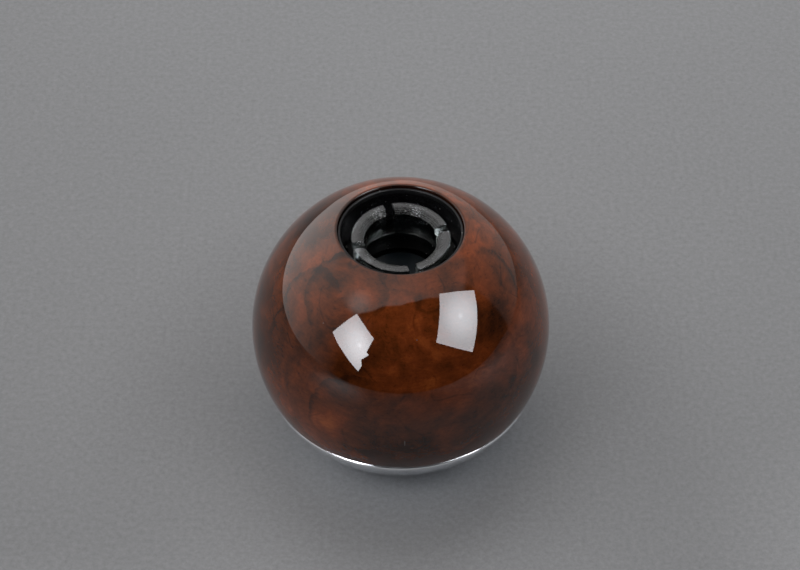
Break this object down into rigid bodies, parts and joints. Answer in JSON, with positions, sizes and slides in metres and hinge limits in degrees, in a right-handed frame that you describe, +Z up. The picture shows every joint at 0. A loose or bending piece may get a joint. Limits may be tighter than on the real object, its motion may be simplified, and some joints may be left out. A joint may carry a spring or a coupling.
{
  "type": "ball knob",
  "caption": "Lacquered burl wood palm ball with a snap collet socket in its crown, a chrome foot ring and a rubber friction pad underneath.",
  "frame": {"origin": "centre of the foot's underside, on the plane the ball rests on", "axes": "+Z up through the socket in the crown; +X and +Y lie in the rest plane, through the ribs in the socket's recess, and one slot of the collet is 15.5 degrees from +X towards +Y"},
  "size_m": [0.05, 0.05, 0.0425],
  "materials": {
    "burl_lacquer": "deep clear gloss lacquer over burl veneer",
    "polished_chrome": "polished",
    "liner_plastic": "glossy black",
    "collet_plastic": "clear, moulded",
    "socket_pad_rubber": "satin",
    "core_plastic": "moulded",
    "friction_rubber": "matte",
    "seam_rubber": "matte",
    "cast_zinc": "as cast",
    "plated_steel": "zinc plated",
    "turned_brass": "turned"
  },
  "bodies": {
    "ball": {"burl_shell": "burl_lacquer", "seam_ring": "seam_rubber", "foot_ring": "polished_chrome", "base_plate": "core_plastic", "friction_pad": "friction_rubber", "core_body": "core_plastic", "ballast_weight": "cast_zinc", "socket_liner": "liner_plastic", "socket_pad": "socket_pad_rubber", "socket_screw": "plated_steel", "socket_insert": "turned_brass", "collet_base": "collet_plastic", "base_screw_1": "plated_steel", "base_screw_2": "plated_steel", "base_screw_3": "plated_steel", "base_insert_1": "turned_brass", "base_insert_2": "turned_brass", "base_insert_3": "turned_brass"},
    "finger_1": {"collet_finger_1": "collet_plastic"},
    "finger_2": {"collet_finger_2": "collet_plastic"},
    "finger_3": {"collet_finger_3": "collet_plastic"},
    "finger_4": {"collet_finger_4": "collet_plastic"}
  },
  "joints": [
    {"name": "finger_1_flex", "type": "hinge", "parent": "ball", "child": "finger_1", "pos_m": [0.00355, 0.00627, 0.03575], "axis": [-0.8704, 0.4924, 0], "range_deg": [0, 4], "stiffness_Nm_per_rad": 0.3},
    {"name": "finger_2_flex", "type": "hinge", "parent": "ball", "child": "finger_2", "pos_m": [-0.00627, 0.00355, 0.03575], "axis": [-0.4924, -0.8704, 0], "range_deg": [0, 4], "stiffness_Nm_per_rad": 0.3},
    {"name": "finger_3_flex", "type": "hinge", "parent": "ball", "child": "finger_3", "pos_m": [-0.00355, -0.00627, 0.03575], "axis": [0.8704, -0.4924, 0], "range_deg": [0, 4], "stiffness_Nm_per_rad": 0.3},
    {"name": "finger_4_flex", "type": "hinge", "parent": "ball", "child": "finger_4", "pos_m": [0.00627, -0.00355, 0.03575], "axis": [0.4924, 0.8704, 0], "range_deg": [0, 4], "stiffness_Nm_per_rad": 0.3}
  ]
}
